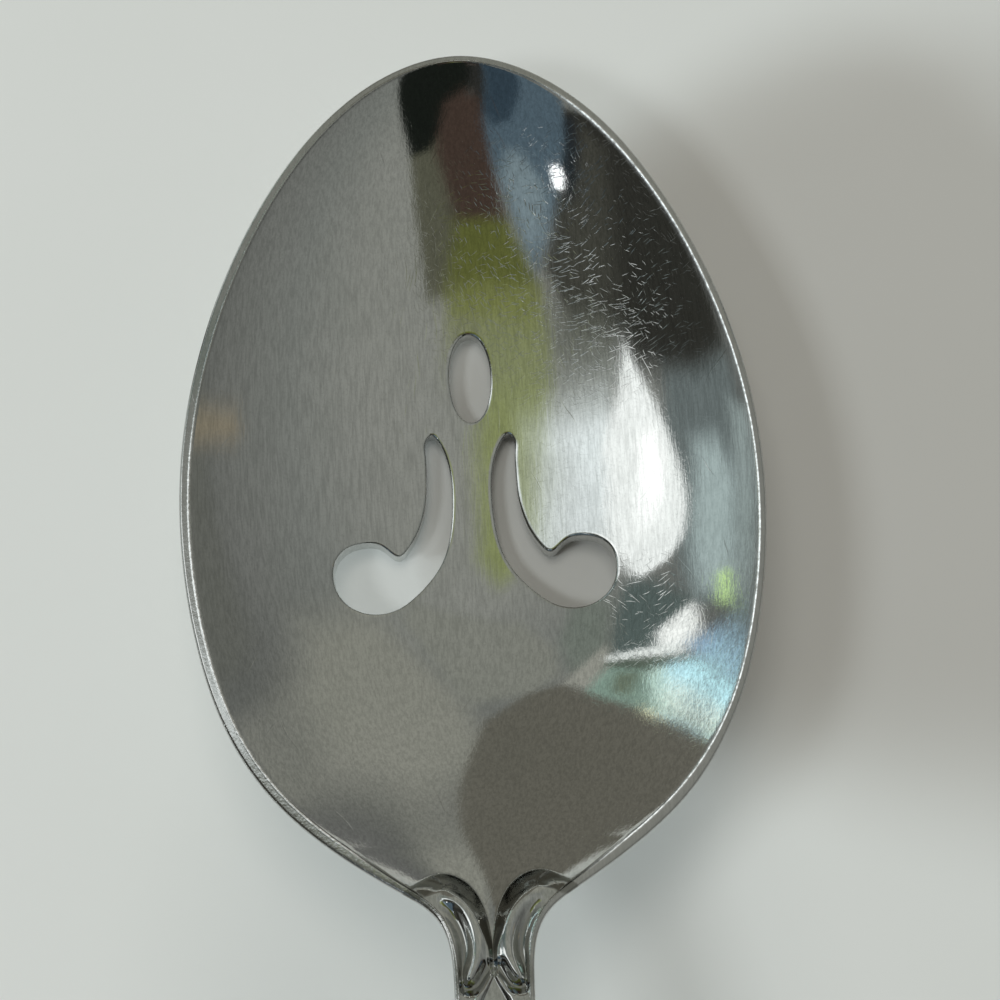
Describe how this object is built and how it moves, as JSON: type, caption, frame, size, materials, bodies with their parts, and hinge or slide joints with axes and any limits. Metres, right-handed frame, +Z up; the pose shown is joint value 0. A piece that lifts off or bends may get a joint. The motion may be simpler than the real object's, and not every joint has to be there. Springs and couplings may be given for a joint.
{
  "type": "pierced serving spoon",
  "caption": "Large stainless serving spoon with a deep oval bowl pierced by an oval and mirrored J-shaped slots, coined scrolls at the neck and an arched, flared, thread-edged handle.",
  "frame": {"origin": "below the middle of the spoon's length and width, on the plane it rests on", "axes": "+Y along the spoon towards the tip of the bowl, +Z up, with the bowl open upwards, +X across"},
  "size_m": [0.049, 0.213, 0.024],
  "materials": {
    "steel": "stainless steel, finely brushed lengthwise, with a soft sheen and hairline scratches from use"
  },
  "bodies": {
    "root": {"bowl": "steel", "neck": "steel", "stem": "steel", "handle": "steel"}
  },
  "joints": []
}
